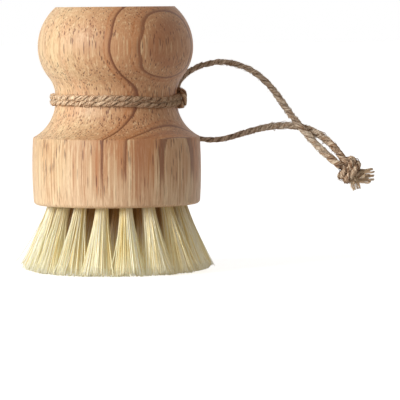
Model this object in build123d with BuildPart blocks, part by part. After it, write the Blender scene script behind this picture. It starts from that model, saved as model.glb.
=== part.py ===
from build123d import *

import os
from math import acos, ceil, cos, radians, sin, sqrt, tan

# Palm brush: a turned wooden handle, its tufts of stiff fibre and a hanging loop of twine.
# Millimetres, +Z up.  The origin is under the handle's axis, on the plane that the tips stand on.

# Handle, with heights above its drilled face
face_height = 19.9
handle_height = 58.1
base_foot_radius = 24.5
base_radius = 24.85
base_belly_height = 14.5
shoulder_radius = 24.6
shoulder_height = 19.8
neck_radius = 17.9
neck_low_height = 30.6
neck_high_height = 32.1
knob_radius = 22.9
knob_height = 46.3
knob_underside_arc = 14.0
top_radius = 17.5
foot_round = 1.2
shoulder_round = 0.5
top_round = 0.5

# Drilled holes for the tufts
hole_radius = 2.0
hole_depth = 9.0
drill_overrun = 1.5

# Tufts in three evenly spaced rings: the outer holes' margin from the foot, and their tips' splay
rim_margin = 5.9
tip_splay = 5.4
ring_names = ("inner", "middle", "outer")
ring_shares = (1 / 3, 2 / 3, 1)
ring_counts = (6, 11, 17)
first_bearings = (10, 4, -12)

# One tuft: a fold of fibre packed into its hole, and the strands that leave it
plug_clearance = 0.05
plug_length = 8.7
fold_round = 0.8
strand_sink = 1.1
strand_root_width = 0.78
strand_tip_width = 1.05
core_count = 3
core_root_ring = 0.58
core_tip_ring = 1.25
rim_count = 9
rim_root_ring = 1.42
rim_tip_ring = 3.1
tip_cut = 0.5

# Anchor: flat wire across the fold
anchor_thickness = 0.4
anchor_height = 1.6
anchor_bite = 0.3
anchor_clearance = 0.03
fold_thickness = 1.4

# Twine, hitched round the neck.  The hitch's heights are above the drilled face.
twine_diameter = 1.5
tight_diameter = 1.2
turn_gap = 0.45
neck_clearance = 0.45
hitch_height = 30.9
hitch_tail = 5.0
quarter_turns = 4

# Points of the two strands of the loop past their first, from the neck to the knot
upper_route = [
    (18.4, 9.3, 51.8), (17.7, 13.6, 53.3), (18.7, 17.6, 56.0), (22.0, 20.0, 58.8),
    (26.5, 20.3, 60.6), (31.5, 19.5, 61.3), (36.4, 18.5, 60.4), (41.3, 17.7, 58.1),
    (45.2, 16.8, 54.6), (48.6, 16.0, 50.1), (51.8, 15.3, 45.3), (55.4, 14.5, 40.8),
    (59.0, 13.7, 36.8), (62.2, 12.8, 33.5), (65.0, 12.1, 31.1),
]
lower_route = [
    (18.4, 9.3, 49.6), (17.2, 13.4, 47.8), (17.1, 16.7, 44.2), (19.1, 19.2, 40.8),
    (23.2, 20.4, 38.3), (28.3, 20.3, 37.5), (33.6, 19.7, 38.3), (38.8, 19.2, 40.0),
    (44.2, 18.9, 41.4), (49.8, 18.4, 42.0), (55.0, 17.6, 41.6), (59.4, 16.4, 39.9),
    (62.9, 15.1, 37.3), (65.5, 14.0, 34.8), (67.3, 13.3, 32.2),
]
bend_share = 0.45

# Overhand knot that joins the twine's ends, and its two frayed tails
knot_centre = (69.2, 12.5, 28.6)
knot_axis = (0.62, 0.05, -0.78)
knot_core_radius = 2.9
knot_lobe_radius = 3.5
knot_half_length = 3.7
knot_stub = 3.4
long_tail_end = (77.0, 11.5, 26.9)
short_tail_end = (71.3, 11.6, 23.4)
tail_tip_diameter = 1.1


def tuft_plane(root_ring, tip_ring, bearing):
    """Plane at a hole's mouth.  Its Z runs up the hole and its X round the ring."""
    angle = radians(bearing)
    outward = Vector(sin(angle), -cos(angle), 0)
    mouth = outward * root_ring + Vector(0, 0, face_height)
    foot = outward * tip_ring
    return Plane(origin=mouth, x_dir=(cos(angle), sin(angle), 0), z_dir=mouth - foot)


def ring_planes(root_ring, tip_ring, count, first_bearing):
    """Mouth planes of a ring of holes, evenly spaced from the first bearing."""
    return [
        tuft_plane(root_ring, tip_ring, first_bearing + 360 * i / count) for i in range(count)
    ]


def strand(root, tip, facing):
    """A four-sided strand that widens from its root to its tip."""
    with BuildSketch(Plane(origin=root, x_dir=facing)) as root_section:
        Rectangle(strand_root_width, strand_root_width)
    with BuildSketch(Plane(origin=tip, x_dir=facing)) as tip_section:
        Rectangle(strand_tip_width, strand_tip_width)
    return loft([root_section.sketch, tip_section.sketch], ruled=True)


def tuft_strands(root_ring, tip_ring, bearing):
    """The strands of one tuft, in a core and a rim, which fan out from the hole's mouth."""
    angle = radians(bearing)
    outward = Vector(sin(angle), -cos(angle), 0)
    root_middle = outward * root_ring + Vector(0, 0, face_height)
    tip_middle = outward * tip_ring - Vector(0, 0, tip_cut)
    rows = [
        (core_count, core_root_ring, core_tip_ring),
        (rim_count, rim_root_ring, rim_tip_ring),
    ]
    strands = []
    for count, root_row, tip_row in rows:
        for i in range(count):
            turn = angle + radians(360 * i / count)
            facing = Vector(sin(turn), -cos(turn), 0)
            root = root_middle + facing * root_row
            tip = tip_middle + facing * tip_row
            sunk = root + (root - tip) * (strand_sink / (root.Z - tip.Z))
            strands.append(strand(sunk, tip, facing))
    return strands


def make_tuft(root_ring, tip_ring, bearing):
    """One tuft: the packed fold in its hole, a slot for the anchor, and the strands."""
    strands = tuft_strands(root_ring, tip_ring, bearing)
    mouth = tuft_plane(root_ring, tip_ring, bearing)
    with BuildPart() as tuft:
        with BuildSketch(mouth):
            Circle(hole_radius - plug_clearance)
        extrude(amount=plug_length)
        deep_end = tuft.faces().sort_by(SortBy.DISTANCE, reverse=True)[0]
        fillet(deep_end.edges(), fold_round)
        with Locations(anchor_place(mouth)):
            Box(
                hole_radius * 2,
                anchor_thickness + 2 * anchor_clearance,
                anchor_height + 2 * anchor_clearance,
                mode=Mode.SUBTRACT,
            )
        add(strands)
        split(bisect_by=Plane.XY, keep=Keep.TOP)
    return tuft.part


def anchor_place(mouth):
    """Plane at the middle of the anchor in the hole that opens at this plane."""
    return mouth.offset(plug_length - fold_thickness - anchor_height / 2)


def biarc(start, start_heading, end, end_heading):
    """Two arcs from start to end that keep the headings of both and meet smoothly."""
    chord = end - start
    both = start_heading + end_heading
    a = 4 - both.dot(both)
    b = 2 * chord.dot(both)
    reach = (sqrt(b * b + 4 * a * chord.dot(chord)) - b) / (2 * a)
    middle = (start + start_heading * reach + end - end_heading * reach) / 2
    first = TangentArc(start, middle, tangent=start_heading)
    return first, TangentArc(middle, end, tangent=first % 1)


def least_gap(path, diameter):
    """Least gap between parts of a tube that lie over four diameters apart along it."""
    steps = ceil(path.length / (diameter / 4))
    points = [path @ (i / steps) for i in range(steps + 1)]
    apart = ceil(4 * diameter / (path.length / steps))
    least = path.length
    for i, point in enumerate(points):
        for other in points[i + apart:]:
            least = min(least, (point - other).length)
    return least - diameter


def bend_radii(points):
    """Radius for each corner of a route: as large as its two runs leave room for."""
    radii = []
    for before, corner, after in zip(points, points[1:], points[2:]):
        run_in = corner - before
        run_out = after - corner
        half_turn = radians(run_in.get_angle(run_out)) / 2
        radii.append(bend_share * min(run_in.length, run_out.length) / tan(half_turn))
    return radii


def make_leg(name, start, route):
    """A strand of the loop: a plain tube along its route, from the hitch to the knot."""
    points = [start] + [Vector(point) for point in route]
    radii = bend_radii(points)
    with BuildPart() as leg:
        with BuildLine() as lay:
            FilletPolyline(points, radius=radii)
        path = lay.wire()
        with BuildSketch(Plane(origin=path @ 0, z_dir=path % 0)) as section:
            Circle(twine_diameter / 2)
        sweep()
    print(name, "length", round(path.length, 1), "least radius", round(min(radii), 1))
    print(name, "radii", [round(radius, 1) for radius in radii])
    swept = section.sketch.area * path.length
    print(name, "volume over section times length", round(leg.part.volume / swept, 4))
    return leg.part, Plane(origin=path @ 1, z_dir=path % 1)


def save(part, name):
    part.label = name
    export_step(part, f"parts/{name}.step")


os.makedirs("parts", exist_ok=True)

outer_root_ring = base_foot_radius - rim_margin
outer_tip_ring = outer_root_ring + tip_splay
rings = [
    (name, share * outer_root_ring, share * outer_tip_ring, count, first_bearing)
    for name, share, count, first_bearing in zip(
        ring_names, ring_shares, ring_counts, first_bearings
    )
]
mouths = [Plane.XY.offset(face_height)]
for name, root_ring, tip_ring, count, first_bearing in rings:
    mouths += ring_planes(root_ring, tip_ring, count, first_bearing)

# Handle: one turned profile.  The cove above the neck meets the arc of the knob's underside.
top = face_height + handle_height
shoulder_end = (shoulder_radius, face_height + shoulder_height)
neck_low = (neck_radius, face_height + neck_low_height)
neck_high = (neck_radius, face_height + neck_high_height)
knob_side = (knob_radius, face_height + knob_height)
underside_centre_radius = knob_radius - knob_underside_arc
cove_rise = knob_height - neck_high_height
cove_run = neck_radius - underside_centre_radius
cove_arc = (cove_run**2 + cove_rise**2 - knob_underside_arc**2) / (2 * (knob_radius - neck_radius))
cove_share = knob_underside_arc / (knob_underside_arc + cove_arc)
cove_end = (
    underside_centre_radius + cove_share * (cove_run + cove_arc),
    face_height + knob_height - cove_share * cove_rise,
)
with BuildPart() as handle:
    with BuildSketch(Plane.XZ):
        with BuildLine():
            Line((0, face_height), (base_foot_radius, face_height))
            ThreePointArc(
                (base_foot_radius, face_height),
                (base_radius, face_height + base_belly_height),
                shoulder_end,
            )
            TangentArc(neck_low, shoulder_end, tangent=(0, -1))
            Line(neck_low, neck_high)
            TangentArc(neck_high, cove_end, tangent=(0, 1))
            TangentArc(knob_side, cove_end, tangent=(0, -1))
            TangentArc(knob_side, (top_radius, top), tangent=(0, 1))
            Line((top_radius, top), (0, top))
            Line((0, top), (0, face_height))
        make_face()
    revolve(axis=Axis.Z)
    rims = handle.edges().filter_by(lambda edge: edge.is_closed).sort_by(Axis.Z)
    fillet(rims[0], foot_round)
    rims = handle.edges().filter_by(lambda edge: edge.is_closed).sort_by(Axis.Z)
    shoulder_rim = rims.sort_by(lambda edge: abs(edge.center().Z - shoulder_end[1]))[0]
    fillet(shoulder_rim, shoulder_round)
    fillet(handle.edges().filter_by(lambda edge: edge.is_closed).sort_by(Axis.Z)[-1], top_round)
    with Locations(*[mouth.offset(-drill_overrun) for mouth in mouths]):
        Cylinder(
            hole_radius,
            hole_depth + drill_overrun,
            align=(Align.CENTER, Align.CENTER, Align.MIN),
            mode=Mode.SUBTRACT,
        )
    with Locations(*[anchor_place(mouth) for mouth in mouths]):
        Box(
            2 * (hole_radius + anchor_bite + anchor_clearance),
            anchor_thickness + 2 * anchor_clearance,
            anchor_height + 2 * anchor_clearance,
            mode=Mode.SUBTRACT,
        )
save(handle.part, "handle")

# Tufts: each ring's are alike, turned about the handle's axis
save(make_tuft(0, 0, 0), "tuft_centre")
for name, root_ring, tip_ring, count, first_bearing in rings:
    first_tuft = make_tuft(root_ring, tip_ring, first_bearing)
    for i in range(count):
        save(first_tuft.rotate(Axis.Z, 360 * i / count), f"tuft_{name}_{i + 1:02d}")

# Anchors: one flat wire across the bottom of each hole, its ends in the wood
with BuildPart() as anchors:
    with Locations(*[anchor_place(mouth) for mouth in mouths]):
        Box(2 * (hole_radius + anchor_bite), anchor_thickness, anchor_height)
save(anchors.part, "anchor_wires")

# Hitch: each strand comes in under the bight, goes once round the neck and rises or falls to
# the bight's end, which crosses over both strands in the plane that touches the turns there.
hitch_middle = face_height + hitch_height
turn_radius = neck_radius + neck_clearance + tight_diameter / 2
turn_pitch = tight_diameter + turn_gap
strand_rise = turn_pitch / 2
bight_rise = 3 * turn_pitch / 2
bight_angle = acos(turn_radius / (turn_radius + turn_pitch))
crossing_reach = turn_radius * tan(bight_angle)
bight_run = crossing_reach - sqrt(bight_rise**2 - strand_rise**2)
step_angle = (radians(360) - bight_angle) / quarter_turns
climb = (bight_rise - strand_rise) / 2
climb_slope = climb / (step_angle * turn_radius)


def turn_point(step, side):
    """Point of a turn after some quarter steps back from the bight, on one side of the middle."""
    angle = -step * step_angle
    rise = strand_rise + climb * max(0, step - quarter_turns + 2)
    return Vector(turn_radius * cos(angle), turn_radius * sin(angle), hitch_middle + side * rise)


def turn_heading(step, side):
    """Heading along the turn at that point, level but for the middle of the climb."""
    angle = -step * step_angle
    slope = climb_slope * side if step == quarter_turns - 1 else 0
    return Vector(sin(angle), -cos(angle), slope).normalized()


with BuildPart() as neck_hitch:
    with BuildLine() as lay:
        upper_exit = turn_point(0, 1) - turn_heading(0, 1) * hitch_tail
        lower_exit = turn_point(0, -1) - turn_heading(0, -1) * hitch_tail
        Line(upper_exit, turn_point(0, 1))
        for step in range(quarter_turns):
            biarc(
                turn_point(step, 1),
                turn_heading(step, 1),
                turn_point(step + 1, 1),
                turn_heading(step + 1, 1),
            )
        arm_heading = turn_heading(quarter_turns, 1)
        arm_reach = arm_heading * bight_run
        Line(turn_point(quarter_turns, 1), turn_point(quarter_turns, 1) + arm_reach)
        ThreePointArc(
            turn_point(quarter_turns, 1) + arm_reach,
            (turn_point(quarter_turns, 1) + turn_point(quarter_turns, -1)) / 2
            + arm_reach
            + arm_heading * bight_rise,
            turn_point(quarter_turns, -1) + arm_reach,
        )
        Line(turn_point(quarter_turns, -1) + arm_reach, turn_point(quarter_turns, -1))
        for step in range(quarter_turns, 0, -1):
            biarc(
                turn_point(step, -1),
                -turn_heading(step, -1),
                turn_point(step - 1, -1),
                -turn_heading(step - 1, -1),
            )
        Line(turn_point(0, -1), lower_exit)
    with BuildSketch(Plane(origin=upper_exit, z_dir=turn_heading(0, 1))):
        Circle(tight_diameter / 2)
    sweep()
winding = lay.wire()
print("hitch length", round(winding.length, 1))
print("hitch least gap", round(least_gap(winding, tight_diameter), 3))
save(neck_hitch.part, "neck_hitch")

upper_leg, upper_end = make_leg("upper leg", upper_exit, upper_route)
lower_leg, lower_end = make_leg("lower leg", lower_exit, lower_route)
save(upper_leg, "loop_strand_upper")
save(lower_leg, "loop_strand_lower")

# Knot: two lobes of twine drawn tight, with the ends of both strands and two frayed tails
knot_plane = Plane(origin=knot_centre, z_dir=knot_axis)
side_plane = Plane(origin=knot_centre, x_dir=knot_plane.x_dir, z_dir=-knot_plane.y_dir)
with BuildPart() as end_knot:
    with BuildSketch(side_plane):
        with BuildLine():
            Line((0, -knot_half_length), (0, knot_half_length))
            for side in (-1, 1):
                ThreePointArc(
                    (0, side * knot_half_length),
                    (knot_lobe_radius, side * knot_half_length / 2),
                    (knot_core_radius, 0),
                )
        make_face()
    revolve(axis=Axis(knot_centre, knot_axis))
    for leg_end in (upper_end, lower_end):
        with BuildSketch(leg_end):
            Circle(twine_diameter / 2)
        extrude(amount=knot_stub)
    for tail_end in (long_tail_end, short_tail_end):
        heading = Vector(tail_end) - Vector(knot_centre)
        with BuildSketch(Plane(origin=knot_centre, z_dir=heading)):
            Circle(twine_diameter / 2)
        with BuildSketch(Plane(origin=tail_end, z_dir=heading)):
            Circle(tail_tip_diameter / 2)
        loft()
save(end_knot.part, "end_knot")
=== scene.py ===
from math import acos, cos, pi, radians, sin, tan

import bpy
import numpy as np
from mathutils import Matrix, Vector


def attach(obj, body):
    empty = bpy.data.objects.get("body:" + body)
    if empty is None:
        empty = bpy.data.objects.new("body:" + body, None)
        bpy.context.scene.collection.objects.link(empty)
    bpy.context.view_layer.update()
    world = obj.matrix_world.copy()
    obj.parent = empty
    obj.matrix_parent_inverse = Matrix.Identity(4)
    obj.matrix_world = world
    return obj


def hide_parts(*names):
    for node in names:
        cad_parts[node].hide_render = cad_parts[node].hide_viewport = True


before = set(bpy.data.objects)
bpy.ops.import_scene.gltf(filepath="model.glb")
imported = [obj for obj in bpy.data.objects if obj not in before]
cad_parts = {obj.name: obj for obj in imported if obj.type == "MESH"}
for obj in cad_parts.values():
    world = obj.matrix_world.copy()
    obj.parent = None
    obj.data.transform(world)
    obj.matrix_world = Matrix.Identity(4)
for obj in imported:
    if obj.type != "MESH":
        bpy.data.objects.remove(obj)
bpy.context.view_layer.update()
mm = 0.001


# Studio: a white floor and a white surround, with soft light from the left and a little from the
# front.  The camera stands level with the handle's top and looks slightly down a long lens.
class Shade:
    """A value in a material's nodes.  Sums on it add Math nodes, and node() adds any other."""

    def __init__(self, tree, socket=None):
        self.tree = tree
        self.socket = socket

    def node(self, kind, settings=None, sockets=None, out=0):
        """Adds a node, makes its settings, fills its sockets, and returns one of its outputs."""
        made = self.tree.nodes.new("ShaderNode" + kind)
        for name, value in (settings or {}).items():
            setattr(made, name, value)
        for name, value in (sockets or {}).items():
            socket = self.named(made.inputs, name)
            if isinstance(value, Shade):
                self.tree.links.new(value.socket, socket)
            else:
                socket.default_value = value
        return Shade(self.tree, self.named(made.outputs, out) if made.outputs else None)

    def named(self, sockets, name):
        """The socket with this number, identifier or name."""
        if isinstance(name, int):
            return sockets[name]
        return next(socket for socket in sockets if name in (socket.identifier, socket.name))

    def maths(self, operation, *others):
        """A Math node whose first value is this one."""
        return self.node("Math", {"operation": operation}, dict(enumerate((self, *others))))

    def __add__(self, other):
        return self.maths("ADD", other)

    def __sub__(self, other):
        return self.maths("SUBTRACT", other)

    def __rsub__(self, other):
        return self * -1.0 + other

    def __mul__(self, other):
        return self.maths("MULTIPLY", other)

    def __truediv__(self, other):
        return self.maths("DIVIDE", other)

    __radd__ = __add__
    __rmul__ = __mul__

    def step(self, start, end, low=0.0, high=1.0):
        """Smooth step from low to high as this value goes from start to end."""
        sockets = {"Value": self, "From Min": start, "From Max": end}
        sockets |= {"To Min": low, "To Max": high}
        return self.node("MapRange", {"interpolation_type": "SMOOTHSTEP"}, sockets)

    def blend(self, low, high):
        """Colour that goes from low to high as this value goes from 0 to 1."""
        sockets = {"Factor_Float": self, "A_Color": low, "B_Color": high}
        return self.node("Mix", {"data_type": "RGBA"}, sockets, "Result_Color")

    def layered(self, layers):
        """This colour with tints laid over it in turn, each where its own mask is above 0."""
        colour = self
        for mask, tint in layers:
            colour = mask.blend(colour, tint)
        return colour

    def stretched(self, scale):
        """These coordinates, each multiplied by its own scale."""
        return self.node("VectorMath", {"operation": "MULTIPLY"}, {0: self, 1: scale})

    def noise(self, scale, detail=2.0, shift=0.0):
        """Noise from 0 to 1 over these coordinates, stretched by a scale for each of them."""
        moved = self.node("VectorMath", {}, {0: self.stretched(scale), 1: (shift,) * 3})
        return moved.node("TexNoise", {}, {"Vector": moved, "Scale": 1.0, "Detail": detail})


def material(name):
    """A new material with no nodes yet, and a Shade to start its nodes from."""
    made = bpy.data.materials.new(name)
    made.use_nodes = True
    made.node_tree.nodes.clear()
    return made, Shade(made.node_tree)


def camera_ray(start):
    """1 for what the camera sees straight, in a reflection or through glass, and else 0."""
    seen = start.node("LightPath", out="Is Camera Ray")
    glossy = start.node("LightPath", out="Is Glossy Ray")
    through = start.node("LightPath", out="Is Transmission Ray")
    return seen.maths("MAXIMUM", glossy).maths("MAXIMUM", through)


brush_middle = Vector((0.01, 0, 0.04))


def add_lamp(name, place, width, watts):
    """A square area lamp that faces the middle of the brush."""
    lamp = bpy.data.lights.new(name, "AREA")
    lamp.size = width
    lamp.energy = watts
    holder = bpy.data.objects.new(name, lamp)
    holder.location = place
    holder.rotation_euler = (brush_middle - Vector(place)).to_track_quat("-Z", "Y").to_euler()
    bpy.context.scene.collection.objects.link(holder)


floor_glow = 0.76
floor_half = 6.0
floor_material, start = material("white_floor")
paint = start.node(
    "BsdfPrincipled",
    sockets={
        "Base Color": (0.8, 0.8, 0.8, 1),
        "Roughness": 0.9,
        "Emission Color": (1, 1, 1, 1),
        "Emission Strength": camera_ray(start) * floor_glow,
    },
)
start.node("OutputMaterial", sockets={"Surface": paint})
floor_mesh = bpy.data.meshes.new("floor")
corners = [(x * floor_half, y * floor_half, 0) for x, y in ((-1, -1), (1, -1), (1, 1), (-1, 1))]
floor_mesh.from_pydata(corners, [], [(0, 1, 2, 3)])
floor_mesh.materials.append(floor_material)
floor = bpy.data.objects.new("floor", floor_mesh)
bpy.context.scene.collection.objects.link(floor)

surround_tint = (1.0, 0.92, 0.84, 1)
surround_strength = 0.24
world = bpy.data.worlds.new("surround")
world.use_nodes = True
world.node_tree.nodes.clear()
start = Shade(world.node_tree)
soft = start.node("Background", sockets={"Color": surround_tint, "Strength": surround_strength})
white = start.node("Background", sockets={"Color": (1, 1, 1, 1), "Strength": 1.0})
surround = start.node("MixShader", sockets={0: camera_ray(start), 1: soft, 2: white})
start.node("OutputWorld", sockets={"Surface": surround})
bpy.context.scene.world = world
bpy.context.scene.view_settings.view_transform = "Standard"

add_lamp("key", (-1.05, -0.78, 0.50), 0.6, 16.6)
add_lamp("front", (-0.2, -1.4, 0.5), 0.8, 2)

camera_place = (0.025, -0.975, 0.078)
camera_down = 3.36
camera_roll = 0.5
camera = bpy.data.cameras.new("camera")
camera.lens = 297.6
camera.sensor_width = 36
camera.clip_start = 0.05
camera_holder = bpy.data.objects.new("camera", camera)
camera_holder.location = camera_place
camera_holder.rotation_euler = (radians(90 - camera_down), radians(camera_roll), 0)
bpy.context.scene.collection.objects.link(camera_holder)
bpy.context.scene.camera = camera_holder


# Handle: one turned piece of pale ring-porous wood, sanded and left bare.  Its pith lies behind and
# to the left, so the rings cross the right of the front, and long open vessels show as dashes.
pith_x = -49.8
pith_y = 44.8
first_ring = 79.15
ring_width = 4.4


def ring_distance(place):
    """Distance from the pith in millimetres, a little wavy, and drawn in near the handle's top:
    distance = root of (x - pith x) squared + (y - pith y) squared, + draw-in + wave."""
    x = place.node("SeparateXYZ", sockets={0: place}, out="X") - pith_x
    y = place.node("SeparateXYZ", sockets={0: place}, out="Y") - pith_y
    z = place.node("SeparateXYZ", sockets={0: place}, out="Z")
    draw_in = z.step(69.0, 79.0, 0.0, 1.7)
    wave = (place.noise((0.14, 0.14, 0.06), 2.0) - 0.5) * 0.3
    return (x * x + y * y).maths("SQRT") + draw_in + wave


def open_vessels(place, across, along, radius, shift):
    """1 inside the open vessels, which are long dots round points scattered in stretched cells."""
    cells = place.node("VectorMath", {}, {0: place.stretched((across, across, along)), 1: (shift,) * 3})
    near = cells.node("TexVoronoi", {}, {"Vector": cells, "Scale": 1.0}, "Distance")
    return near.step(radius, radius * 0.6)


wood, start = material("bare_wood")
place = start.node("TexCoord", out="Object").stretched((1000, 1000, 1000))
right = place.node("SeparateXYZ", sockets={0: place}, out="X")
level = place.node("SeparateXYZ", sockets={0: place}, out="Z")

# Noises from broad to fine.  The streaks and the grain run the whole height, as wood fibre does.
patch = place.noise((0.09, 0.09, 0.035), 2.0, 3.0)
blush = place.noise((0.16, 0.16, 0.05), 2.0, 11.0)
gather = place.noise((0.25, 0.25, 0.08), 2.0, 23.0)
mottle = place.noise((0.5, 0.5, 0.12), 2.0, 17.0)
streak = place.noise((1.8, 1.8, 0.012), 3.0, 2.0)
grain = place.noise((4.4, 4.4, 0.03), 3.0)
fine = place.noise((9.0, 9.0, 1.6), 2.0, 7.0)

# Parts of the handle: the base's side, its paler foot with a ragged upper edge, and the neck.
side = level.step(39.5, 37.5)
foot = (level + (streak - 0.5) * 30.0 + (blush - 0.5) * 14.0).step(33.0, 22.0)
neck = level.step(64.0, 56.0) * level.step(38.0, 44.0)

# The rings stand for years: pale early wood, then the late wood darkens to a thin line at its edge.
# Near the second line they are drawn in, least at the knob's belly, so that it closes to an oval.
ring = ring_distance(place)
beyond = ring.step(84.5, 87.0)
belly = level.step(77.0, 68.0) * level.step(57.0, 65.0)
under = level.step(64.0, 59.0) * level.step(52.0, 55.0)
shift = beyond * belly.step(0.0, 1.0, 0.45, 0.1) + beyond * under * 0.6 + ring.step(87.4, 91.1, 0.0, 0.5)
year = (ring + shift - first_ring) / ring_width + (grain - 0.5) * 0.05 + (fine - 0.5) * 0.04
season = year.maths("FRACT")
shown = (ring.step(78.5, 82.0, 0.15, 1.0) + ring.step(52.0, 46.0, 0.0, 0.85)) * foot.step(0.0, 1.0, 1.0, 0.1)
edge = season.step(1.0, 0.985) * shown * ring.step(85.5, 87.0, 1.0, 0.8)
late = season.step(0.83, 0.96) * edge
halo = season.step(0.50, 0.93) * edge
faint = season.step(0.64, 0.71) * season.step(0.78, 0.71) * shown

# The last ring cut at the right is a pale panel on the base, with a darker band round it.
panel = ring.step(90.9, 91.2)
band = ring.step(88.0, 89.0) * ring.step(90.6, 89.2) * foot.step(0.0, 1.0, 1.0, 0.4)
band = band * right.step(20.5, 15.0, 0.3, 1.0)

# Open vessels: fine pores, long dashes, and the neck's round dots, where the cut crosses them.
pores = open_vessels(place, 3.0, 0.40, 0.37, 0.0) * gather.step(0.40, 0.62, 0.2, 1.0)
vessels = open_vessels(place, 1.4, 0.13, 0.30, 5.0) * gather.step(0.32, 0.46)
vessels = vessels * foot.step(0.0, 1.0, 1.0, 0.3)
pores = pores * side.step(0.0, 1.0, 1.0, 0.4) * neck.step(0.0, 1.0, 1.0, 0.45)
dots = open_vessels(place, 1.4, 0.5, 0.34, 9.0) * neck * mottle.step(0.36, 0.52)

pale_wood = patch.step(0.3, 0.7).blend((0.84, 0.63, 0.36, 1), (0.79, 0.53, 0.29, 1))
colour = pale_wood.layered([
    (mottle.step(0.45, 0.7) * 0.5, (0.72, 0.42, 0.20, 1)),
    (blush.step(0.5, 0.75) * 0.45, (0.76, 0.43, 0.25, 1)),
    # Darker and redder towards the right of the front, and a little on the neck: partly the wood's own
    # deeper tone, partly painted shade of the side away from the key lamp.
    ((ring + neck * 1.5).step(66.5, 87.5) * 0.9, (0.47, 0.21, 0.086, 1)),
    (panel * 0.8, (0.60, 0.38, 0.21, 1)),
    (streak.step(0.48, 0.66) * side.step(0.0, 1.0, 0.35, 0.6), (0.46, 0.20, 0.08, 1)),
    (streak.step(0.46, 0.30) * 0.45, (0.94, 0.76, 0.46, 1)),
    (grain.step(0.50, 0.64) * side.step(0.0, 1.0, 0.22, 0.5), (0.42, 0.18, 0.07, 1)),
    (grain.step(0.46, 0.34) * side.step(0.0, 1.0, 0.15, 0.4), (0.96, 0.78, 0.50, 1)),
    (fine.step(0.48, 0.72) * 0.18, (0.42, 0.19, 0.08, 1)),
    (fine.step(0.45, 0.25) * 0.15, (0.94, 0.76, 0.50, 1)),
    (foot * 0.32, (0.93, 0.75, 0.50, 1)),
    (band * 0.6, (0.34, 0.12, 0.045, 1)),
    (halo * 0.45 + faint * 0.45, (0.42, 0.15, 0.045, 1)),
    (late * 0.95, (0.15, 0.042, 0.010, 1)),
    (pores * 0.7, (0.26, 0.10, 0.035, 1)),
    (dots * 0.65, (0.20, 0.07, 0.025, 1)),
    (vessels * 0.9, (0.15, 0.05, 0.018, 1)),
])
height = grain * 0.25 + fine * 0.25 - pores * 0.5 - dots * 0.6 - vessels * 0.8
bump = start.node("Bump", sockets={"Strength": 0.5, "Distance": 0.08 * mm, "Height": height})
surface = start.node(
    "BsdfPrincipled",
    sockets={"Base Color": colour, "Roughness": pores.step(0, 1, 0.5, 0.7), "Normal": bump},
)
start.node("OutputMaterial", sockets={"Surface": surface})
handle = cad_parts["handle"]
handle.data.materials.clear()
handle.data.materials.append(wood)


# Anchors: short flat steel wires that hold each tuft's fold at the bottom of its hole.  They were cut
# from drawn wire and driven in, so they are bright, with fine scratches along their length.
steel, start = material("drawn_steel")
place = start.node("TexCoord", out="Object").stretched((1000, 1000, 1000))
scratches = place.noise((1.5, 1.5, 14.0), 3.0)
surface = start.node(
    "BsdfPrincipled",
    sockets={
        "Base Color": scratches.step(0.3, 0.7).blend((0.50, 0.49, 0.47, 1), (0.66, 0.65, 0.63, 1)),
        "Metallic": 1.0,
        "Roughness": scratches.step(0.3, 0.7, 0.28, 0.42),
    },
)
start.node("OutputMaterial", sockets={"Surface": surface})
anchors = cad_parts["anchor_wires"]
anchors.data.materials.clear()
anchors.data.materials.append(steel)


# Tufts: a bundle of stiff plant fibre, folded in half over its wire and packed into the hole.  The
# fibres fan out below the mouth, and their tips were trimmed level, so only a few differ.
fibre_sides = 3


def fibre_tubes(lines, radii):
    """Thin tubes round lines of points, an array of fibre by ring by coordinate.
    ring = line point + radius * (u cos a + v sin a), with u and v square to the line there."""
    sides = fibre_sides
    heading = np.gradient(lines, axis=1)
    heading /= np.linalg.norm(heading, axis=2, keepdims=True)
    chord = lines[:, -1] - lines[:, 0]
    aside = np.cross(chord + 1e-9, np.roll(chord, 1, axis=1) + [[1e-6, 2e-6, 3e-6]])
    u = np.cross(heading, aside[:, None, :])
    u /= np.linalg.norm(u, axis=2, keepdims=True)
    v = np.cross(heading, u)
    angle = np.arange(sides) * 2 * pi / sides
    around = u[:, :, None, :] * np.cos(angle)[:, None] + v[:, :, None, :] * np.sin(angle)[:, None]
    points = lines[:, :, None, :] + around * radii[:, :, None, None]
    fibres, rings = lines.shape[:2]
    base = np.arange(fibres)[:, None, None] * rings * sides
    ring_start = base + np.arange(rings - 1)[None, :, None] * sides
    here = np.arange(sides)[None, None, :]
    beside = (here + 1) % sides
    quads = [ring_start + here, ring_start + beside, ring_start + beside + sides]
    quads = np.stack(quads + [ring_start + here + sides], axis=-1).reshape(-1, 4)
    first_cap = base[:, 0] + np.arange(sides)[::-1]
    last_cap = base[:, 0] + (rings - 1) * sides + np.arange(sides)
    return points.reshape(-1, 3), quads.tolist() + first_cap.tolist() + last_cap.tolist()


def tube_faces(rings, sides, base):
    """Quads between the rings of a tube, and a cap at each end."""
    ring_start = base + np.arange(rings - 1)[:, None] * sides
    here = np.arange(sides)[None, :]
    beside = (here + 1) % sides
    quads = [ring_start + here, ring_start + beside, ring_start + beside + sides]
    quads = np.stack(quads + [ring_start + here + sides], axis=-1).reshape(-1, 4)
    caps = [(base + np.arange(sides)[::-1]).tolist()]
    caps += [(base + (rings - 1) * sides + np.arange(sides)).tolist()]
    return quads.tolist() + caps


def new_piece(name, points, faces, finish, values=None):
    """A smooth mesh piece with values for each point that its material reads by name."""
    mesh = bpy.data.meshes.new(name)
    mesh.from_pydata(points.tolist(), [], faces)
    for label, value in (values or {}).items():
        kind, field = ("FLOAT", "value") if value.ndim == 1 else ("FLOAT_VECTOR", "vector")
        layer = mesh.attributes.new(label, kind, "POINT")
        layer.data.foreach_set(field, value.astype(np.float32).ravel())
    mesh.polygons.foreach_set("use_smooth", [True] * len(mesh.polygons))
    mesh.materials.append(finish)
    piece = bpy.data.objects.new(name, mesh)
    bpy.context.scene.collection.objects.link(piece)
    return piece


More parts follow.
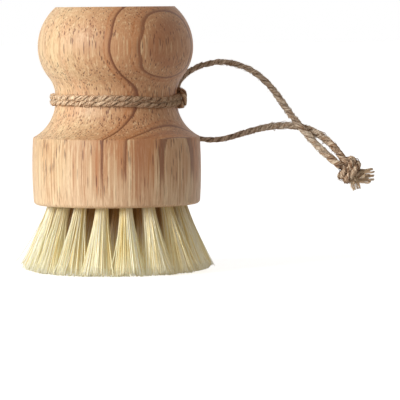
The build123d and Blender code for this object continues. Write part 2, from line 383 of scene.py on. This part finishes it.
face_height = 19.9 * mm
hole_depth = 8.3 * mm
root_radius = 1.78 * mm
heart_radius = 1.4 * mm
outer_root = 18.6
outer_tip = 24.0

# Each ring of tufts: its name, the radii of its holes and of its tips, the number of tufts, and the
# first one's bearing in degrees from the front.
ring_rows = [
    ("centre", 0.0, 0.0, 1, 0.0),
    ("inner", 6.2 * mm, 8.0 * mm, 6, 10.0),
    ("middle", 12.4 * mm, 16.0 * mm, 11, 4.0),
    ("outer", outer_root * mm, outer_tip * mm, 17, -12.0),
]
fibres_per_tuft = 140
locks_per_side = 9
skin_share = 0.6
skin_from = 0.6
lock_bend = 0.35 * mm
own_bend = 0.25 * mm
stray_bend = 1.4 * mm
stray_share = 0.07
trim_spread = 0.6 * mm
floor_gap = 0.05 * mm
fold_drop = -0.38


def tuft_place(root_ring, tip_ring, bearing):
    """A hole's mouth, how far the tips are from it, and the tuft's three directions."""
    outward = np.array([sin(bearing), -cos(bearing), 0.0])
    aside = np.array([cos(bearing), sin(bearing), 0.0])
    mouth = outward * root_ring + [0, 0, face_height]
    reach = np.linalg.norm(outward * tip_ring - mouth)
    axis = (outward * tip_ring - mouth) / reach
    return mouth, reach, axis, aside, np.cross(axis, aside)


def tuft_heart(root_ring, tip_ring, bearing, draw):
    """The packed fibres inside a tuft, as one fluted skin that stops short of the tips:
    radius = heart radius * (1 + 1.25 * drop ** 1.2) * (1 + flute + drift * drop), drawn in at its
    ends.  The drop is 0 at the mouth and 1 at the trimmed face."""
    mouth, reach, axis, aside, toward = tuft_place(root_ring, tip_ring, bearing)
    sides = 56
    drop = np.array([-0.04, 0.0, 0.06, 0.14, 0.24, 0.35, 0.46, 0.57, 0.68, 0.79, 0.88, 0.93, 0.95])
    drawn_in = np.array([0.2, 1.0, 1.0, 1.0, 1.0, 1.0, 1.0, 1.0, 1.0, 1.0, 0.95, 0.6, 0.15])
    below = np.clip(drop, 0, 1)[:, None]
    flute = draw.normal(0, 0.05, sides)[None, :]
    drift = draw.normal(0, 0.06, sides)[None, :]
    girth = heart_radius * (1 + 1.25 * below**1.2) * (1 + flute + drift * below) * drawn_in[:, None]
    turn = np.arange(sides) * 2 * pi / sides
    points = mouth + axis * (drop * reach)[:, None, None]
    points = points + aside * (girth * np.cos(turn))[..., None]
    points = points + toward * (girth * np.sin(turn))[..., None]
    tones = np.broadcast_to(draw.random(sides)[None, :] * 0.45, girth.shape)
    drops = np.broadcast_to(below, girth.shape)
    return points.reshape(-1, 3), tube_faces(len(drop), sides, 0), tones.ravel(), drops.ravel()


def tuft_lines(root_ring, tip_ring, bearing, draw):
    """Folded fibres of one tuft: each runs from one tip up into the hole, over the wire and back.
    Across the hole a fibre stands on a disc, and below the mouth the disc grows with the drop:
    point = axis + disc place * (1 + spread * drop ** 1.2) + the bend of its lock and its own.
    Most fibres stand in the disc's outer part.  Those of a lock also share part of their tone."""
    count = fibres_per_tuft
    mouth, reach, axis, aside, toward = tuft_place(root_ring, tip_ring, bearing)
    drop = np.array([1.0, 0.86, 0.71, 0.56, 0.41, 0.26, 0.12, 0.0, -0.17, fold_drop])
    drop = np.concatenate([drop, drop[::-1]])
    side = np.repeat([1.0, -1.0], len(drop) // 2)
    below = np.clip(drop, 0, 1)
    least = np.where(draw.random(count) < skin_share, skin_from, 0.0)
    disc = np.sqrt(least + (1 - least) * draw.random(count)) * root_radius
    turn = draw.random(count) * 2 * pi
    lock_bends = draw.normal(0, lock_bend, (2, locks_per_side, 2))
    lock = (turn / (2 * pi) * locks_per_side).astype(int)
    across = (disc * np.cos(turn))[:, None] * np.ones(len(drop))
    through = np.abs(disc * np.sin(turn))[:, None] * side
    spread = 1 + below**1.2 * (0.95 + 0.75 * draw.random((count, 1)))
    stray = np.where(draw.random((count, 1, 1)) < stray_share, stray_bend, own_bend)
    bend = draw.normal(0, 1, (count, 2, 2)) * stray + lock_bends[:, lock].swapaxes(0, 1)
    bend = bend[:, (side < 0).astype(int)]
    across = across * spread + bend[:, :, 0] * below**1.6
    through = through * spread + bend[:, :, 1] * below**1.6
    trim = np.abs(draw.normal(0, trim_spread, (count, 2)))[:, (side < 0).astype(int)] * (drop > 0.9)
    depth = np.where(drop > 0, drop * reach, -drop / fold_drop * hole_depth)[None, :] - trim
    lines = mouth + axis * depth[:, :, None]
    lines = lines + aside * across[:, :, None] + toward * through[:, :, None]
    lines[:, :, 2] = np.maximum(lines[:, :, 2], floor_gap)
    tones = 0.45 * draw.random(locks_per_side)[lock] + 0.55 * draw.random(count)
    return lines, np.broadcast_to(below, lines.shape[:2]), tones


fibre, start = material("plant_fibre")
tone = start.node("Attribute", {"attribute_name": "tone"}, out="Fac")
drop = start.node("Attribute", {"attribute_name": "drop"}, out="Fac")
place = start.node("TexCoord", out="Object").stretched((1000, 1000, 1000))
streak = place.noise((2.2, 2.2, 0.35), 2.0)
x = place.node("SeparateXYZ", sockets={0: place}, out="X")
y = place.node("SeparateXYZ", sockets={0: place}, out="Y")

# How far a fibre lies inside the brush, where little light reaches its root.
from_axis = (x * x + y * y).maths("SQRT")
buried = (drop * (outer_tip - outer_root) + outer_root - from_axis).step(-0.8, 2.6)
straw = tone.step(0.10, 0.50).blend((0.72, 0.54, 0.18, 1), (0.97, 0.91, 0.58, 1))
colour = straw.layered([
    (tone.step(0.45, 0.72) * 0.9, (1.0, 0.98, 0.82, 1)),
    (streak.step(0.5, 0.75) * 0.35, (0.76, 0.56, 0.22, 1)),
    # Paler towards the trimmed tips: painted light, for the light the tips catch and let through.
    (drop.step(0.6, 1.0) * 0.4, (1.0, 0.97, 0.76, 1)),
    # Darker golden towards the right: painted shade of the side away from the key lamp.
    (x.step(0.0, 20.0) * 0.25, (0.56, 0.37, 0.11, 1)),
    (drop.step(0.5, 0.0) * 0.25, (0.66, 0.42, 0.12, 1)),
    (buried * drop.step(0.8, 0.1) * 0.9, (0.36, 0.15, 0.015, 1)),
])

# Thin fibre lets some light through, which the faint glow stands for.  It fades towards the roots.
glow = drop.step(0.0, 0.9, 0.35, 1.0).blend((0.02, 0.005, 0, 1), colour)
surface = start.node(
    "BsdfPrincipled",
    sockets={
        "Base Color": colour,
        "Roughness": 0.4,
        "Sheen Weight": 0.4,
        "Sheen Roughness": 0.45,
        "Sheen Tint": (1.0, 0.92, 0.68, 1),
        "Emission Color": glow,
        "Emission Strength": 0.13,
    },
)
start.node("OutputMaterial", sockets={"Surface": surface})

thinnest = 0.08
thickest = 0.145
draw = np.random.default_rng(35)
for ring_name, root_ring, tip_ring, count, first_bearing in ring_rows:
    for i in range(count):
        bearing = radians(first_bearing + 360 * i / count)
        number = "" if ring_name == "centre" else f"_{i + 1:02d}"
        heart, heart_faces, heart_tones, heart_drops = tuft_heart(root_ring, tip_ring, bearing, draw)
        lines, drops, tones = tuft_lines(root_ring, tip_ring, bearing, draw)
        girth = draw.uniform(thinnest, thickest, (fibres_per_tuft, 1)) * mm * np.ones(lines.shape[1])
        points, faces = fibre_tubes(lines, girth)
        faces = heart_faces + [[index + len(heart) for index in face] for face in faces]
        points = np.concatenate([heart, points])
        tones = np.repeat(tones, lines.shape[1] * fibre_sides)
        values = {
            "tone": np.concatenate([heart_tones, tones]),
            "drop": np.concatenate([heart_drops, np.repeat(drops.ravel(), fibre_sides)]),
        }
        bundle = new_piece(f"fibres_{ring_name}{number}", points, faces, fibre, values)
        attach(bundle, "brush")
        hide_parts(f"tuft_{ring_name}{number}")


# Hanging string: one length of two-ply jute, brown and hairy.  Its middle is hitched round the neck,
# and its two ends lie side by side in one overhand knot, past which they fray.
def spline_points(route):
    """Points along the NURBS spline of order 3 that has the route as its control points."""
    curve = bpy.data.curves.new("route", "CURVE")
    curve.dimensions = "3D"
    spline = curve.splines.new("NURBS")
    spline.points.add(len(route) - 1)
    spline.points.foreach_set("co", [value for point in route for value in (*point, 1.0)])
    spline.order_u = 3
    spline.use_endpoint_u = True
    spline.resolution_u = 24
    holder = bpy.data.objects.new("route", curve)
    read = bpy.data.meshes.new_from_object(holder)
    points = np.empty(len(read.vertices) * 3)
    read.vertices.foreach_get("co", points)
    bpy.data.objects.remove(holder)
    bpy.data.curves.remove(curve)
    bpy.data.meshes.remove(read)
    return points.reshape(-1, 3)


# Control points of the two strands in metres, from the hitch's exits to the knot.
upper_exit = (0.01895, 0.0050, 0.051625)
lower_exit = (0.01895, 0.0050, 0.049975)
upper_route = [
    (0.0184, 0.0093, 0.0518), (0.0177, 0.0136, 0.0533), (0.0187, 0.0176, 0.0560),
    (0.0220, 0.0200, 0.0588), (0.0265, 0.0203, 0.0606), (0.0315, 0.0195, 0.0613),
    (0.0364, 0.0185, 0.0604), (0.0413, 0.0177, 0.0581), (0.0452, 0.0168, 0.0546),
    (0.0486, 0.0160, 0.0501), (0.0518, 0.0153, 0.0453), (0.0554, 0.0145, 0.0408),
    (0.0590, 0.0137, 0.0368), (0.0622, 0.0128, 0.0335), (0.0650, 0.0121, 0.0311),
]
lower_route = [
    (0.0184, 0.0093, 0.0496), (0.0172, 0.0134, 0.0478), (0.0171, 0.0167, 0.0442),
    (0.0191, 0.0192, 0.0408), (0.0232, 0.0204, 0.0383), (0.0283, 0.0203, 0.0375),
    (0.0336, 0.0197, 0.0383), (0.0388, 0.0192, 0.0400), (0.0442, 0.0189, 0.0414),
    (0.0498, 0.0184, 0.0420), (0.0550, 0.0176, 0.0416), (0.0594, 0.0164, 0.0399),
    (0.0629, 0.0151, 0.0373), (0.0655, 0.0140, 0.0348), (0.0673, 0.0133, 0.0322),
]
hitch_middle = 50.8 * mm
turn_radius = 18.62 * mm
turn_pitch = 1.42 * mm
front_sag = 0.9 * mm
bight_angle = acos(turn_radius / (turn_radius + turn_pitch))


def turn_route(side):
    """Control points of one turn, from its exit behind the right side, by the front, to the bight:
    point = (turn radius * cos a, turn radius * sin a, middle + side * rise - sag).  It sags a little
    at the right of the front, and its rise grows from half a pitch to one and a half at the back."""
    angles = -np.linspace(0, 2 * pi - bight_angle, 25)
    climbed = np.clip((-angles - pi) / (pi - bight_angle), 0, 1)
    climbed = climbed * climbed * (3 - 2 * climbed)
    rise = turn_pitch * (0.5 + climbed)
    sag = front_sag * np.exp(-(((angles + 0.75) / 0.5) ** 2))
    level = hitch_middle + side * rise - sag
    return np.stack([turn_radius * np.cos(angles), turn_radius * np.sin(angles), level], axis=1)


def bight_route():
    """Control points of the bight, half a circle in the plane that touches the turns' ends:
    point = root + heading * (run + half width * cos a) - up * half width * sin a."""
    heading = np.array([sin(bight_angle), -cos(bight_angle), 0])
    root = turn_radius * np.array([cos(bight_angle), sin(bight_angle), 0]) + [0, 0, hitch_middle]
    half_width = 1.5 * turn_pitch
    run = turn_radius * tan(bight_angle) - half_width * 0.8
    swing = np.linspace(-pi / 2, pi / 2, 9)[:, None]
    upward = np.array([0, 0, 1]) * half_width
    return root + heading * (run + half_width * np.cos(swing)) - upward * np.sin(swing)


hitch_route = [upper_exit, *turn_route(1)[1:], *bight_route(), *turn_route(-1)[:0:-1], lower_exit]
knot_centre = np.array([69.0, 12.5, 28.8]) * mm
knot_along = np.array([0.62, 0.05, -0.78])
knot_along /= np.linalg.norm(knot_along)
knot_side = np.array([0.78, 0.0, 0.62])
knot_side /= np.linalg.norm(knot_side)
knot_front = np.cross(knot_along, knot_side)
knot_half_length = 2.3 * mm
wraps_inside = 2.8 * mm
wraps_outside = 3.7 * mm


def knot_place(side, front, along):
    """Place in the knot: to its upper right, towards the viewer, and down along it."""
    return knot_centre + (knot_side * side + knot_front * front + knot_along * along) * mm


def knot_route(leg, strand, tail):
    """Control points of one strand in the knot, from the leg's end to its tail, in millimetres of
    knot_place.  It runs down the core, turns out at the back, goes once round in front with
    girth = 2.95 - 0.1 * climb squared, and comes down inside its own turn."""
    lead = leg[-1] + (leg[-1] - leg[-2]) / np.linalg.norm(leg[-1] - leg[-2]) * 1.2 * mm
    core = [(0.8 * strand, -0.6, -1.8), (0.8 * strand, -0.7, 0.2), (0.7 * strand, -1.4, 1.6)]
    swing = np.linspace(radians(205), radians(545), 18)
    climb = np.linspace(1.7, -1.5, 18) + 0.95 * strand
    girth = 2.95 - 0.1 * climb**2
    around = np.stack([girth * np.sin(swing), girth * np.cos(swing), climb], axis=1)
    tuck = [
        (0.9 * strand, -1.0, -2.2),
        (0.8 * strand, 0.5, -1.2),
        (0.8 * strand, 0.7, 0.8),
        (0.8 * strand, 0.7, 2.4),
    ]
    inside = [knot_place(*point) for point in (*core, *around, *tuck)]
    return [leg[-1], lead, *inside, *[knot_place(*point) for point in tail]]


long_tail = [(1.5, 0.9, 3.6), (2.7, 1.0, 4.5)]
short_tail = [(-0.9, 0.8, 3.4), (-1.3, 0.8, 4.4)]
upper_leg = spline_points([upper_exit, *upper_route])
lower_leg = spline_points([lower_exit, *lower_route])
hitch = spline_points(hitch_route)
upper_knot = spline_points(knot_route(upper_leg, -1, short_tail))
lower_knot = spline_points(knot_route(lower_leg, 1, long_tail))


def evenly(points, step):
    """The same polyline with evenly spaced points, by length along it."""
    along = np.concatenate([[0], np.cumsum(np.linalg.norm(np.diff(points, axis=0), axis=1))])
    even = np.linspace(0, along[-1], int(along[-1] / step) + 1)
    return np.stack([np.interp(even, along, points[:, i]) for i in range(3)], axis=1)


def carried_frame(points):
    """Headings along a path, and two directions square to them that don't turn about the path."""
    headings = np.gradient(points, axis=0)
    headings /= np.linalg.norm(headings, axis=1, keepdims=True)
    normals = np.empty_like(headings)
    normal = np.cross(headings[0], [0.3, 0.2, 0.9])
    for i, heading in enumerate(headings):
        normal = normal - heading * (normal @ heading)
        normal = normal / np.linalg.norm(normal)
        normals[i] = normal
    return headings, normals, np.cross(headings, normals)


ring_step = 0.22 * mm
ply_offset = 0.37 * mm
ply_thickness = 0.41 * mm
ply_width = 0.64 * mm
lay_length = 6.2 * mm
twist_length = 4.2 * mm
stretches = [upper_knot[::-1], upper_leg[::-1], hitch, lower_leg, lower_knot]
stretches = [evenly(stretch, ring_step) for stretch in stretches]
whole = np.concatenate([stretches[0]] + [stretch[1:] for stretch in stretches[1:]])
ends = np.cumsum([len(stretches[0])] + [len(stretch) - 1 for stretch in stretches[1:]])
headings, normals, binormals = carried_frame(whole)
count = len(whole)
distance = np.arange(count) * ring_step

# The twine is fatter and has opened up in and near the knot, and a little in the hitch.  Each mark
# is a ring, the twine's girth there and how far it has opened.
marks = [
    (0, 1.0, 1.4), (8, 1.3, 0.8), (ends[0], 1.35, 0.9), (ends[0] + 110, 1.15, 0.8),
    (ends[0] + 190, 1.0, 0.5), (ends[1], 1.0, 0.0), (ends[1] + 60, 1.04, 0.55),
    (ends[2] - 60, 1.04, 0.55), (ends[2], 1.0, 0.0), (ends[3] - 170, 1.0, 0.05),
    (ends[3] - 125, 1.12, 0.85), (ends[3], 1.35, 0.9), (count - 9, 1.3, 0.8), (count - 1, 1.0, 1.4),
]
mark_rings, mark_girths, mark_openings = zip(*marks)
plump = np.interp(np.arange(count), mark_rings, mark_girths)
opened = np.interp(np.arange(count), mark_rings, mark_openings)

draw = np.random.default_rng(8)


def wander(spacing, size):
    """A smooth random run along the string: random values at a spacing, joined by straight runs."""
    knots = draw.normal(0, size, count // spacing + 2)
    return np.interp(np.arange(count) / spacing, np.arange(len(knots)), knots)


turning = -2 * pi * distance / lay_length + wander(90, 0.3)
plies = []
for ply in range(2):
    angle = (turning + pi * ply)[:, None]
    outward = normals * np.cos(angle) + binormals * np.sin(angle)
    aside = binormals * np.cos(angle) - normals * np.sin(angle)
    swell = plump * (1 + wander(14, 0.05) + wander(50, 0.06))
    centre = whole + outward * (ply_offset * plump)[:, None]
    plies.append((centre, outward, aside, ply_thickness * swell, ply_width * swell))


def skin_place(ply, index, angle, lift):
    """Points on a ply's skin, on an ellipse that is wider along the string's own skin:
    point = centre + outward * width * lift * cos(angle) + aside * length * lift * sin(angle)."""
    centre, outward, aside, width, length = plies[ply]
    out = (width[index] * lift * np.cos(angle))[..., None] * outward[index]
    over = (length[index] * lift * np.sin(angle))[..., None] * aside[index]
    return centre[index] + out + over


def ply_tube(ply, first, last):
    """One ply between two rings: points, faces, the points' places with the twist undone, how far
    each is out of the groove between the plies, and their ring numbers.  Its skin is fluted as it
    is twisted: lift = 1 + 0.06 * sin(5 * lean) + 0.06 * sin(8 * lean)."""
    sides = 24
    index = np.arange(first, last)[:, None]
    around = np.arange(sides)[None, :] * 2 * pi / sides
    lean = around + 2 * pi * distance[index] / twist_length
    lift = 1 + 0.06 * np.sin(5 * lean + 2 * ply) + 0.06 * np.sin(8 * lean + ply)
    points = skin_place(ply, index, around, lift).reshape(-1, 3)
    along = np.broadcast_to(distance[index] / mm + 400 * ply, lean.shape)
    straight = np.stack([np.cos(lean) * 0.5, np.sin(lean) * 0.5, along], axis=-1)
    shown = 1 - (1 - np.cos(around)) / 2 * (1 - 0.3 * opened[index])
    rings = np.broadcast_to(index, lean.shape)
    faces = tube_faces(last - first, sides, 0)
    return points, faces, straight.reshape(-1, 3), shown.ravel(), rings.ravel()


def lying_fibres(first, last, per_mm):
    """Fibres on a ply's skin that follow its twist, wander a little and arch up off it."""
    number = int((last - first) * ring_step / mm * per_mm)
    steps = np.arange(5)[None, :] * draw.integers(3, 8, (number, 1))
    begin = draw.integers(first, max(first + 1, last - 24), (number, 1))
    index = np.minimum(begin + steps, last - 1)
    lean = 1 + draw.normal(0, 1, (number, 1)) * (0.4 + 0.8 * opened[begin])
    lean = lean * 2 * pi / twist_length * ring_step
    angle = draw.normal(0, 1.1, (number, 1)) - lean * steps
    lift = np.abs(draw.normal(0, 1, (number, 1))) * (0.2 + 0.22 * opened[begin])
    lift = 1.02 + lift * np.sin(np.arange(5) / 4 * pi)
    both = [skin_place(ply, index, angle, lift) for ply in range(2)]
    lines = np.where(draw.random((number, 1, 1)) < 0.5, both[0], both[1])
    return lines, begin[:, 0], np.arange(number)


def loose_hairs(first, last, per_mm, longest):
    """Loose fibre ends that stand off the string, none further than the longest:
    line = root + reach * t + curl * t squared."""
    number = int((last - first) * ring_step / mm * per_mm)
    where = draw.integers(first, last, number)
    turn = draw.random(number) * 2 * pi
    off = normals[where] * np.cos(turn)[:, None] + binormals[where] * np.sin(turn)[:, None]
    length = draw.random(number) ** 2 * longest + 0.3 * mm
    reach = (off * 0.6 + headings[where] * draw.normal(0, 0.9, (number, 1))) * length[:, None]
    curl = draw.normal(0, 0.4, (number, 3)) * length[:, None]
    held = np.minimum(1, longest / np.linalg.norm(reach + curl, axis=1))[:, None]
    t = np.linspace(0, 1, 5)[None, :, None]
    lines = whole[where][:, None, :] + off[:, None, :] * 0.6 * mm
    lines = lines + (reach * held)[:, None, :] * t + (curl * held)[:, None, :] * t * t
    return lines, where, np.arange(number)


fibres_per_lock = 40
fibres_alike = 8
fray_start = 2.0 * mm


def frayed_end(ring, heading, length, locks, width):
    """The end's fibres, in locks that start inside the knot and spread apart, with t from 0 to 1:
    line = root + heading * length * t + lock side * width * (0.7 + 0.3 t) + own side * (1 - 0.5 t).
    Eight neighbours share one place in the jute's streaks."""
    lock = np.repeat(np.arange(locks), fibres_per_lock)
    side = np.cross(heading, knot_front)
    spread = (np.linspace(-1, 1, locks) + draw.normal(0, 0.1, locks))[lock][:, None]
    depth = draw.normal(0, 0.35, locks)[lock][:, None]
    reach = length * draw.uniform(0.62, 1.05, locks)[lock] * draw.uniform(0.9, 1.0, len(lock))
    own = draw.normal(0, 0.23 * mm, (len(lock), 2))
    t = np.linspace(0, 1, 7)[None, :]
    apart = width * (0.7 + 0.3 * t)
    forward = (reach + fray_start)[:, None] * t - fray_start
    aside = spread * apart + own[:, :1] * (1 - 0.5 * t)
    front = depth * apart + own[:, 1:] * (1 - 0.5 * t)
    wave = draw.normal(0, 0.16 * mm, (locks, 7, 3))[lock] + draw.normal(0, 0.05 * mm, (len(lock), 7, 3))
    lines = whole[ring] + heading * forward[..., None] + side * aside[..., None]
    lines = lines + knot_front * front[..., None] + wave * t[..., None]
    return lines, np.full(len(lock), ring), np.arange(len(lock)) // fibres_alike


def thin_fibres(lines, rings, locks, thick, tip_share):
    """Tapered tubes round loose fibres, from half to one and a half times as thick as asked.  Those
    of a lock share one place in the jute's streaks."""
    girth = draw.uniform(0.5, 1.5, (len(lines), 1)) * thick
    girth = girth * np.linspace(1, tip_share, lines.shape[1])[None, :]
    points, faces = fibre_tubes(lines, girth)
    points_each = lines.shape[1] * fibre_sides
    straight = (draw.random((locks.max() + 1, 3)) * 90)[np.repeat(locks, points_each)]
    return points, faces, straight, np.ones(len(points)), np.repeat(rings, points_each)


lying_per_mm = 10
lying_radius = 0.095 * mm
hairs_per_mm = 6
hair_radius = 0.025 * mm
longest_hair = 1.4 * mm
fray_radius = 0.055 * mm


def string_piece(name, first, last, more=()):
    """The stretch of the string between two rings: both plies, their fibres and what is added.
    Inside the knot the wraps hide what is nearer to its line than they are, and that is painted dark as
    shade."""
    parts = [ply_tube(0, first, last), ply_tube(1, first, last)]
    parts.append(thin_fibres(*lying_fibres(first, last, lying_per_mm), lying_radius, 0.5))
    parts.append(thin_fibres(*loose_hairs(first, last, hairs_per_mm, longest_hair), hair_radius, 0.4))
    parts += more
    points = np.concatenate([part[0] for part in parts])
    base = np.cumsum([0] + [len(part[0]) for part in parts])
    faces = [[index + below for index in face] for part, below in zip(parts, base) for face in part[1]]
    inward = points - knot_centre
    from_line = np.linalg.norm(np.cross(inward, knot_along), axis=1)
    depth = np.clip((wraps_outside - from_line) / (wraps_outside - wraps_inside), 0, 1)
    hidden = np.where(np.abs(inward @ knot_along) < knot_half_length, depth, 0)
    values = {
        "straight": np.concatenate([part[2] for part in parts]),
        "shown": np.concatenate([part[3] for part in parts]) * (1 - hidden),
        "opened": opened[np.concatenate([part[4] for part in parts])],
    }
    return new_piece(name, points, faces, jute, values)


jute, start = material("jute")
straight = start.node("Attribute", {"attribute_name": "straight"}, out="Vector")
shown = start.node("Attribute", {"attribute_name": "shown"}, out="Fac")
opened_up = start.node("Attribute", {"attribute_name": "opened"}, out="Fac")
streak = straight.noise((3.0, 3.0, 0.5), 3.0)
slow = straight.noise((0.3, 0.3, 0.25), 2.0, 5.0)
patch_noise = straight.noise((0.9, 0.9, 0.5), 2.0, 9.0)
place = start.node("TexCoord", out="Object").stretched((1000, 1000, 1000))
right = place.node("SeparateXYZ", sockets={0: place}, out="X")
back = place.node("SeparateXYZ", sockets={0: place}, out="Y")
outward = (right * right + back * back).maths("SQRT")

# Where the twine lies against the neck, where it is in the knot, patches of painted shade between
# the knot's wraps, and the hitch's side away from the light.
near_wood = outward.step(24.0, 21.5)
in_knot = right.step(60.0, 65.0)
knot_shade_patches = right.step(61.0, 66.0) * patch_noise.step(0.46, 0.58)
lee_side = near_wood * right.step(-12.0, 6.0) * right.step(21.0, 17.0, 0.4, 1.0)

# Jute where the twine is tight, where it has opened up, and a warmer jute, which beside the wood is
# painted warm light reflected from it.
tight = streak.step(0.40, 0.60).blend((0.22, 0.12, 0.07, 1), (0.76, 0.57, 0.42, 1))
pale = streak.step(0.42, 0.55).blend((0.38, 0.20, 0.09, 1), (1.0, 0.88, 0.70, 1))
warm = streak.step(0.38, 0.56).blend((0.30, 0.13, 0.05, 1), (0.98, 0.74, 0.48, 1))
colour = tight.layered([
    (slow.step(0.4, 0.7) * 0.4, (0.80, 0.64, 0.48, 1)),
    (opened_up * 0.85, pale),
    # Painted warm light reflected from the wood onto the twine that lies against the neck.
    (near_wood * 0.8, warm),
    (in_knot * 0.45, warm),
    # Dark patches in the knot: painted shade in the gaps between its wraps.
    (knot_shade_patches * 0.7, (0.22, 0.09, 0.03, 1)),
    (opened_up.step(0.95, 1.25) * 0.5, (0.98, 0.76, 0.50, 1)),
    (lee_side * 0.5, (0.26, 0.12, 0.055, 1)),
    # Painted shade: dark in the groove between the plies and deep inside the knot, where the wraps hide the
    # rest.
    (shown.step(0.65, 0.2) * 0.85, (0.10, 0.04, 0.012, 1)),
])
bump = start.node("Bump", sockets={"Strength": 0.7, "Distance": 0.08 * mm, "Height": streak})
surface = start.node("BsdfPrincipled", sockets={"Base Color": colour, "Roughness": 0.8, "Normal": bump})
start.node("OutputMaterial", sockets={"Surface": surface})

# Each strand has its own piece of the knot, and the hitch is cut in two at the middle of its bight.
# Pieces share a ring where they meet, so that no gap shows.
middle = (ends[1] + ends[2]) // 2
upper_fray = frayed_end(ring=2, heading=-headings[2], length=2.6 * mm, locks=4, width=1.0 * mm)
lower_fray = frayed_end(ring=-3, heading=headings[-3], length=3.8 * mm, locks=9, width=2.2 * mm)
pieces = {
    "twine_knot_upper": (0, ends[0], [thin_fibres(*upper_fray, fray_radius, 0.6)]),
    "twine_upper": (ends[0] - 1, ends[1], []),
    "twine_turn_upper": (ends[1] - 1, middle, []),
    "twine_turn_lower": (middle - 1, ends[2], []),
    "twine_lower": (ends[2] - 1, ends[3], []),
    "twine_knot_lower": (ends[3] - 1, ends[4], [thin_fibres(*lower_fray, fray_radius, 0.6)]),
}
made = {}
for name, (first, last, more) in pieces.items():
    made[name] = string_piece(name, first, last, more)
    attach(made[name], "string")
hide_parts("end_knot")
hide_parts("end_knot")
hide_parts("neck_hitch")
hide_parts("neck_hitch")
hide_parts("loop_strand_upper")
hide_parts("loop_strand_lower")
